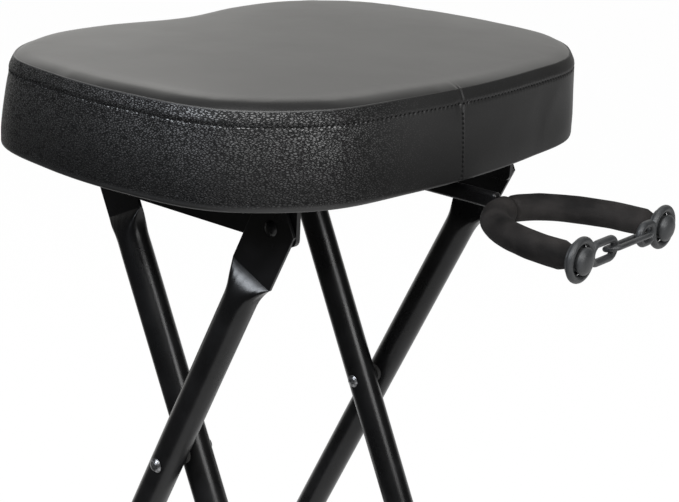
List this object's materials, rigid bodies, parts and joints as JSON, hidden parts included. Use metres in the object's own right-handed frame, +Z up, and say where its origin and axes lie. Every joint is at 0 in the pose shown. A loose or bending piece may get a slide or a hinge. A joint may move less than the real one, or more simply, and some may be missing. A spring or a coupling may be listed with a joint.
{
  "type": "folding guitar stool",
  "caption": "Folding stool with a padded seat on scissor legs, and a foam-covered neck yoke with a retaining strap at the seat's edge that holds a guitar.",
  "frame": {"origin": "on the floor, under the middle of the bounding box", "axes": "+Z up, +X towards the neck yoke, Y along the scissor axis"},
  "size_m": [0.5268, 0.4438, 0.737],
  "materials": {
    "black_paint": "semi-gloss",
    "rivet_steel": "blackened",
    "black_rubber": "matt",
    "leatherette": "grained",
    "cushion_foam": "open cell",
    "plywood": "raw",
    "lining": "matt",
    "sleeve_foam": "matt",
    "grey_plastic": "satin"
  },
  "bodies": {
    "outer_frame": {"outer_leg_near": "black_paint", "outer_leg_far": "black_paint", "outer_foot_near": "black_rubber", "outer_foot_far": "black_rubber", "outer_crossbar": "black_paint", "scissor_rivet_near": "rivet_steel", "scissor_rivet_far": "rivet_steel", "scissor_spacer_near": "black_rubber", "scissor_spacer_far": "black_rubber", "seat_rivet_near": "rivet_steel", "seat_rivet_far": "rivet_steel"},
    "inner_frame": {"inner_leg_near": "black_paint", "inner_leg_far": "black_paint", "inner_foot_near": "black_rubber", "inner_foot_far": "black_rubber", "inner_crossbar": "black_paint", "hook_rod": "rivet_steel"},
    "seat": {"seat_cover": "leatherette", "seat_foam": "cushion_foam", "seat_board": "plywood", "dust_cover": "lining", "rail_near": "black_paint", "rail_far": "black_paint", "rail_screw_1": "rivet_steel", "rail_screw_2": "rivet_steel", "rail_screw_3": "rivet_steel", "rail_screw_4": "rivet_steel", "rail_screw_5": "rivet_steel", "rail_screw_6": "rivet_steel", "rail_screw_7": "rivet_steel", "rail_screw_8": "rivet_steel", "hanger_plate_inner": "black_paint", "hanger_plate_outer": "black_paint", "hanger_bar": "black_paint", "yoke_rod": "rivet_steel", "yoke_foam_near": "sleeve_foam", "yoke_foam_far": "sleeve_foam", "yoke_knob_near": "grey_plastic", "yoke_knob_far": "grey_plastic", "strap_ring_near": "grey_plastic"},
    "strap": {"strap_link": "grey_plastic", "strap_ring_far": "grey_plastic"}
  },
  "joints": [
    {"name": "leg_fold", "type": "hinge", "parent": "outer_frame", "child": "inner_frame", "pos_m": [-0.04671, 0, 0.4195], "axis": [0, 1, 0], "range_deg": [0, 43]},
    {"name": "seat_flip", "type": "hinge", "parent": "outer_frame", "child": "seat", "pos_m": [0.05443, 0, 0.6325], "axis": [0, 1, 0], "range_deg": [0, 116.1]},
    {"name": "strap_swing", "type": "hinge", "parent": "seat", "child": "strap", "pos_m": [0.25259, -0.0112, 0.6415], "axis": [0, 0, -1], "range_deg": [0, 100]}
  ],
  "couplings": [
    {"joint": "seat_flip", "follows": "leg_fold", "ratio": 2.7}
  ]
}
